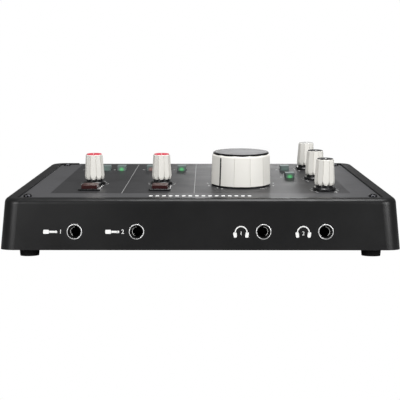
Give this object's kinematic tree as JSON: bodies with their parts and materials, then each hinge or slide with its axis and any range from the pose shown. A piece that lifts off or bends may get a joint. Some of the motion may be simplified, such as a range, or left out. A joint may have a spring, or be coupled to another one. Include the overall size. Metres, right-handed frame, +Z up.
{
  "type": "desktop audio interface",
  "caption": "Low sloping desktop audio interface: black case, grey control panel with cream rotary knobs, lit push buttons, large monitor knob, front jack sockets.",
  "frame": {"origin": "centre of the footprint, on the surface the feet stand on", "axes": "+X to the right as the user faces it, +Y to the back, +Z up"},
  "size_m": [0.2388, 0.159, 0.0712],
  "materials": {
    "case_plastic": "fine textured black moulding",
    "base_steel": "black powder coat",
    "panel_paint": "satin grey paint with a darker printed area",
    "rear_paint": "black satin paint",
    "dark_screw": "black oxide",
    "bright_metal": "nickel plated",
    "rubber": "moulded rubber",
    "board": "green solder mask",
    "components": "component bodies",
    "socket_plastic": "black nylon",
    "chrome_ring": "bright plated",
    "pot_metal": "zinc plated",
    "bezel_plastic": "black polished",
    "shaft_metal": "turned",
    "hub_black": "black moulding",
    "knob_cream": "cream moulding",
    "cap_red": "red moulding",
    "cap_black": "black moulding",
    "cap_grey": "light grey moulding",
    "disc_metal": "spun dark anodised",
    "key_clear": "translucent grey-green, unlit",
    "key_lit": "translucent, lit green",
    "key_amber": "translucent, lit dull red",
    "key_red": "translucent dark red"
  },
  "bodies": {
    "case": {"case_shell": "case_plastic", "base_plate": "base_steel", "top_panel": "panel_paint", "rear_panel": "rear_paint", "panel_screws": "dark_screw", "base_screws": "dark_screw", "rear_panel_screws": "dark_screw", "board_screws": "bright_metal", "board_spacers": "bright_metal", "panel_spacers": "bright_metal", "output_jack_nuts": "bright_metal", "jack_contacts": "bright_metal", "usb_socket": "bright_metal", "feet": "rubber", "main_board": "board", "control_board": "board", "board_components": "components", "front_jacks": "socket_plastic", "output_jacks": "socket_plastic", "combo_sockets": "socket_plastic", "midi_sockets": "socket_plastic", "switch_bodies": "socket_plastic", "ribbon_cable": "socket_plastic", "front_jack_rings": "chrome_ring", "potentiometers": "pot_metal", "button_bezels": "bezel_plastic"},
    "gain_1_knob": {"gain_1_shaft": "shaft_metal", "gain_1_hub": "hub_black", "gain_1_sleeve": "knob_cream", "gain_1_cap": "cap_red"},
    "gain_2_knob": {"gain_2_shaft": "shaft_metal", "gain_2_hub": "hub_black", "gain_2_sleeve": "knob_cream", "gain_2_cap": "cap_red"},
    "phones_b_knob": {"phones_b_shaft": "shaft_metal", "phones_b_hub": "hub_black", "phones_b_sleeve": "knob_cream", "phones_b_cap": "cap_black"},
    "phones_a_knob": {"phones_a_shaft": "shaft_metal", "phones_a_hub": "hub_black", "phones_a_sleeve": "knob_cream", "phones_a_cap": "cap_black"},
    "monitor_mix_knob": {"monitor_mix_shaft": "shaft_metal", "monitor_mix_hub": "hub_black", "monitor_mix_sleeve": "knob_cream", "monitor_mix_cap": "cap_grey"},
    "monitor_knob": {"monitor_shaft": "shaft_metal", "monitor_hub": "hub_black", "monitor_body": "knob_cream", "monitor_disc": "disc_metal"},
    "power_48v_1": {"power_48v_1_button": "key_clear"},
    "line_1": {"line_1_button": "key_clear"},
    "high_pass_1": {"high_pass_1_button": "key_lit"},
    "power_48v_2": {"power_48v_2_button": "key_amber"},
    "line_2": {"line_2_button": "key_clear"},
    "high_pass_2": {"high_pass_2_button": "key_lit"},
    "mono": {"mono_button": "key_clear"},
    "source_select": {"source_select_button": "key_lit"},
    "tone_1": {"tone_1_button": "key_red"},
    "tone_2": {"tone_2_button": "key_red"}
  },
  "joints": [
    {"name": "gain_1_turn", "type": "hinge", "parent": "case", "child": "gain_1_knob", "pos_m": [-0.0704, -0.017, 0.04163], "axis": [0, 0.1323, -0.9912], "range_deg": [-135, 135]},
    {"name": "gain_2_turn", "type": "hinge", "parent": "case", "child": "gain_2_knob", "pos_m": [-0.0257, -0.017, 0.04163], "axis": [0, 0.1323, -0.9912], "range_deg": [-135, 135]},
    {"name": "phones_b_turn", "type": "hinge", "parent": "case", "child": "phones_b_knob", "pos_m": [0.0787, -0.0405, 0.0385], "axis": [0, 0.1323, -0.9912], "range_deg": [-135, 135]},
    {"name": "phones_a_turn", "type": "hinge", "parent": "case", "child": "phones_a_knob", "pos_m": [0.0787, 0.003, 0.0443], "axis": [0, 0.1323, -0.9912], "range_deg": [-135, 135]},
    {"name": "monitor_mix_turn", "type": "hinge", "parent": "case", "child": "monitor_mix_knob", "pos_m": [0.0787, 0.0505, 0.05064], "axis": [0, 0.1323, -0.9912], "range_deg": [-135, 135]},
    {"name": "monitor_turn", "type": "hinge", "parent": "case", "child": "monitor_knob", "pos_m": [0.0267, -0.018, 0.0415], "axis": [0, 0.1323, -0.9912], "range_deg": [0, 270]},
    {"name": "power_48v_1_press", "type": "slide", "parent": "case", "child": "power_48v_1", "axis": [0, 0.1323, -0.9912], "range_m": [0, 0.0015], "stiffness_N_per_m": 300, "springref_m": -0.0005},
    {"name": "line_1_press", "type": "slide", "parent": "case", "child": "line_1", "axis": [0, 0.1323, -0.9912], "range_m": [0, 0.0015], "stiffness_N_per_m": 300, "springref_m": -0.0005},
    {"name": "high_pass_1_press", "type": "slide", "parent": "case", "child": "high_pass_1", "axis": [0, 0.1323, -0.9912], "range_m": [0, 0.0015], "stiffness_N_per_m": 300, "springref_m": -0.0005},
    {"name": "power_48v_2_press", "type": "slide", "parent": "case", "child": "power_48v_2", "axis": [0, 0.1323, -0.9912], "range_m": [0, 0.0015], "stiffness_N_per_m": 300, "springref_m": -0.0005},
    {"name": "line_2_press", "type": "slide", "parent": "case", "child": "line_2", "axis": [0, 0.1323, -0.9912], "range_m": [0, 0.0015], "stiffness_N_per_m": 300, "springref_m": -0.0005},
    {"name": "high_pass_2_press", "type": "slide", "parent": "case", "child": "high_pass_2", "axis": [0, 0.1323, -0.9912], "range_m": [0, 0.0015], "stiffness_N_per_m": 300, "springref_m": -0.0005},
    {"name": "mono_press", "type": "slide", "parent": "case", "child": "mono", "axis": [0, 0.1323, -0.9912], "range_m": [0, 0.0015], "stiffness_N_per_m": 300, "springref_m": -0.0005},
    {"name": "source_select_press", "type": "slide", "parent": "case", "child": "source_select", "axis": [0, 0.1323, -0.9912], "range_m": [0, 0.0015], "stiffness_N_per_m": 300, "springref_m": -0.0005},
    {"name": "tone_1_press", "type": "slide", "parent": "case", "child": "tone_1", "axis": [0, 0.1323, -0.9912], "range_m": [0, 0.0015], "stiffness_N_per_m": 300, "springref_m": -0.0005},
    {"name": "tone_2_press", "type": "slide", "parent": "case", "child": "tone_2", "axis": [0, 0.1323, -0.9912], "range_m": [0, 0.0015], "stiffness_N_per_m": 300, "springref_m": -0.0005}
  ]
}
